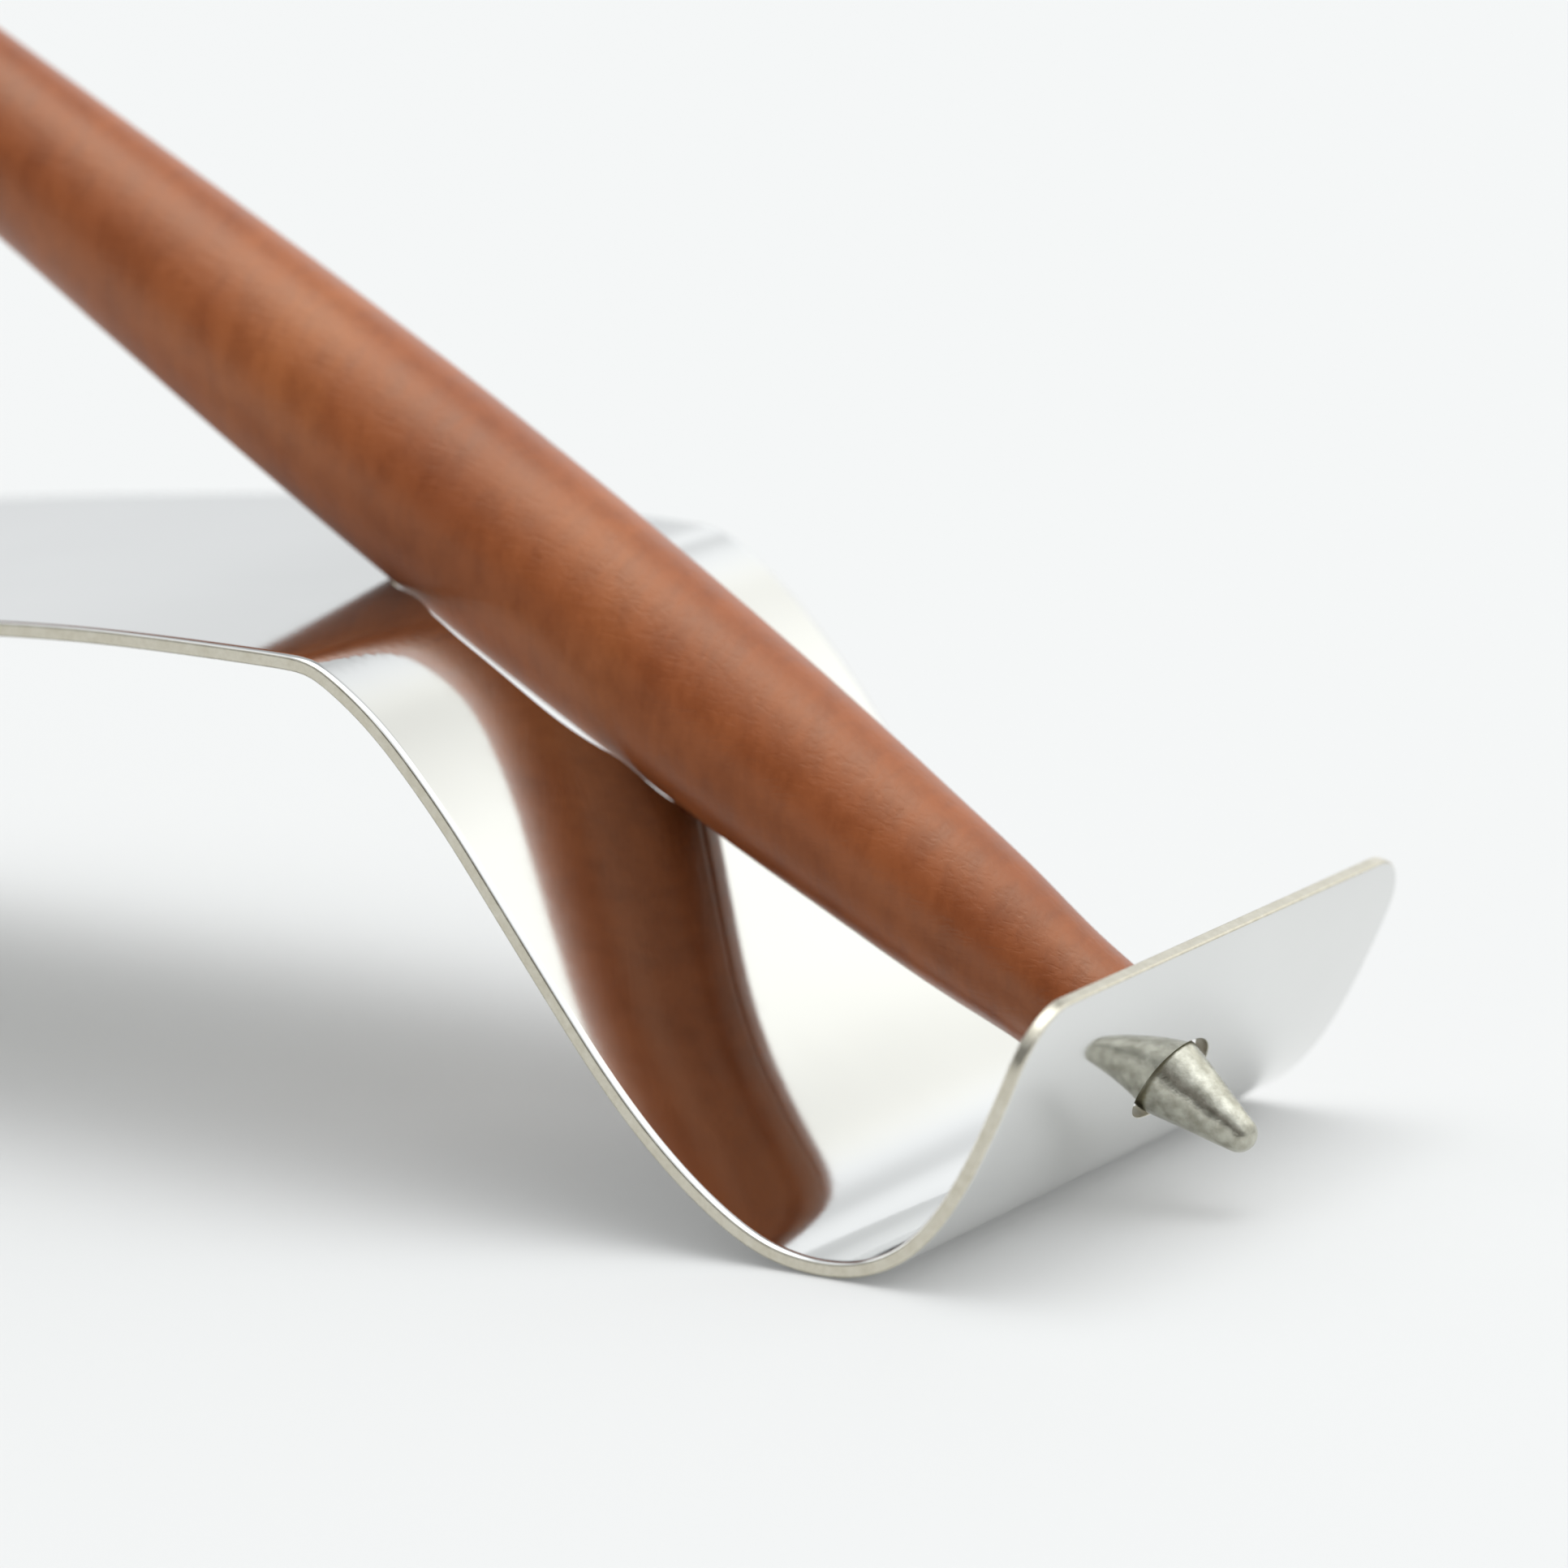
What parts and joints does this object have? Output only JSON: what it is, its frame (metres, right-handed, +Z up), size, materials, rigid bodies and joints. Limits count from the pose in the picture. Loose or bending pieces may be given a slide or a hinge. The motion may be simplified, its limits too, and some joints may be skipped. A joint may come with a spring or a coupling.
{
  "type": "desk pen on a bent strip stand",
  "caption": "Pen with a leather-covered barrel and bare metal writing tip, lying in a stand bent from one polished metal strip, with an oval opening for the barrel and a hole for the tip.",
  "frame": {"origin": "centre of the rear foot's underside, on the plane the stand rests on", "axes": "+X from the rear foot to the front tab, +Y across the strip, +Z up"},
  "size_m": [0.1547, 0.0464, 0.0837],
  "materials": {
    "polished_steel": "mirror-polished stainless sheet",
    "tip_metal": "cast white metal, softly polished",
    "tan_leather": "smooth tan vegetable-tanned leather, satin",
    "core_wood": "plain turned hardwood",
    "bush_brass": "plain turned brass"
  },
  "bodies": {
    "stand": {"stand_strip": "polished_steel"},
    "tip": {"writing_tip": "tip_metal"},
    "barrel": {"leather_sleeve": "tan_leather", "barrel_core": "core_wood", "tip_bush": "bush_brass", "tail_plug": "tip_metal"}
  },
  "joints": [
    {"name": "pen_withdraw", "type": "slide", "parent": "stand", "child": "tip", "axis": [-0.8588, 0, 0.5122], "range_m": [0, 0.085]},
    {"name": "barrel_turn", "type": "hinge", "parent": "tip", "child": "barrel", "pos_m": [0.14864, 0, 0.00502], "axis": [-0.8588, 0, 0.5122], "continuous": true}
  ]
}
